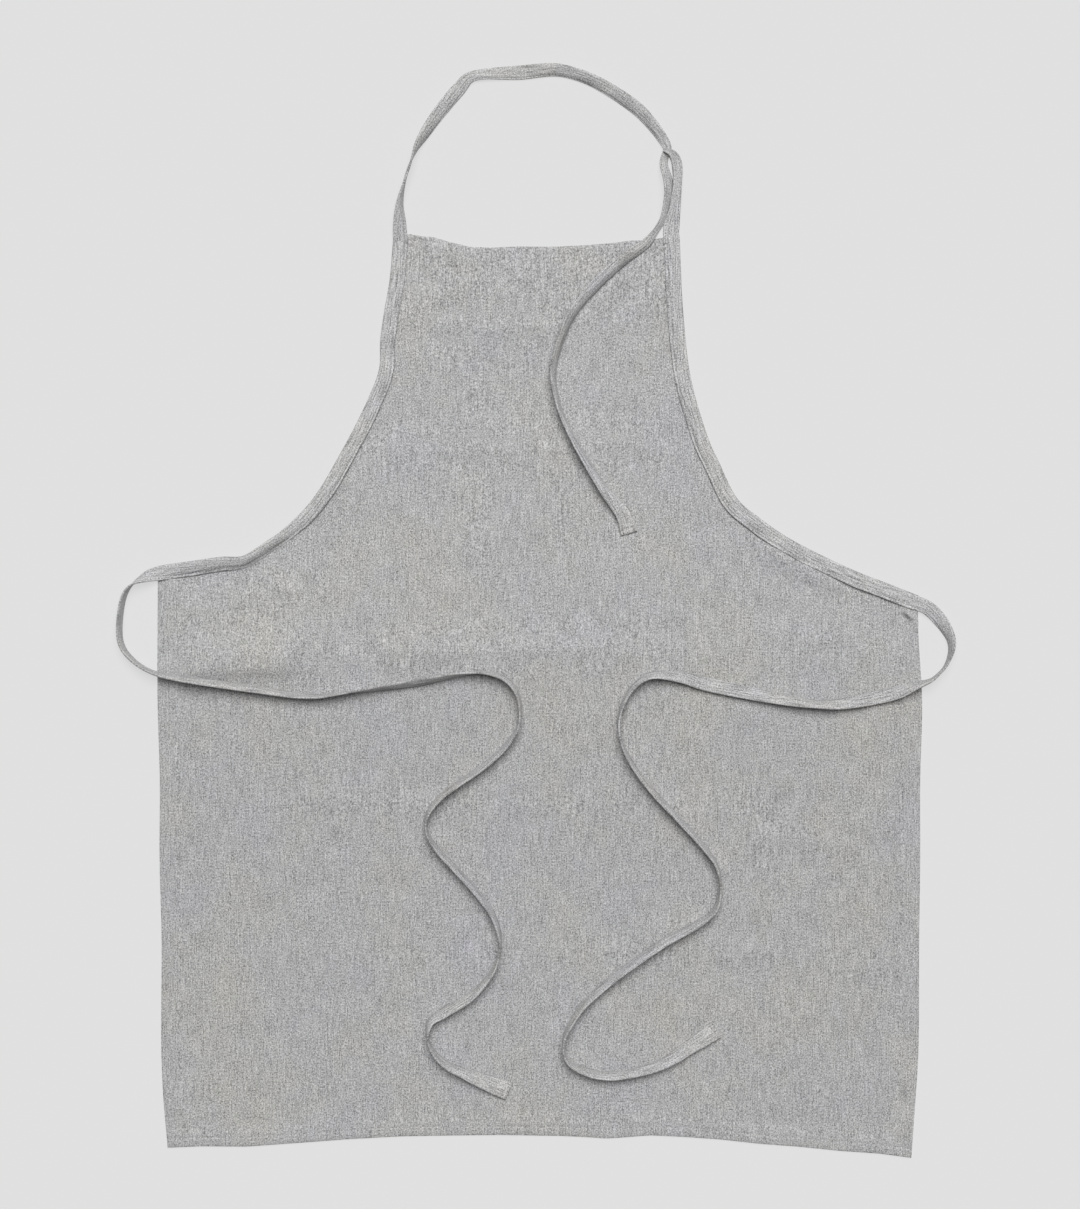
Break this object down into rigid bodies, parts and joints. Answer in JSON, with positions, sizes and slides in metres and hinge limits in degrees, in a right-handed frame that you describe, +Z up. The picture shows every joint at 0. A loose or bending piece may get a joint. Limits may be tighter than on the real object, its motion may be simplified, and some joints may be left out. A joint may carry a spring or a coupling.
{
  "type": "bib apron",
  "caption": "Bib apron of heathered grey woven cloth with bound armholes, a neck strap run through a tape loop, and waist ties, lying flat and face up.",
  "frame": {"origin": "on the surface that the apron lies on, under the middle of the cloth and the neck loop", "axes": "+X right and +Y towards the neck as the apron is seen from above, +Z up out of its front face"},
  "size_m": [0.7837, 1.0273, 0.0167],
  "materials": {
    "cloth": "matt plain weave, heathered grey with fine slubs along the length",
    "tape": "matt folded and stitched tape of the same heathered grey weave"
  },
  "bodies": {
    "root": {"body_panel": "cloth", "left_binding": "tape", "right_binding": "tape", "neck_strap": "tape", "neck_loop": "tape", "left_waist_tie": "tape", "right_waist_tie": "tape"}
  },
  "joints": []
}
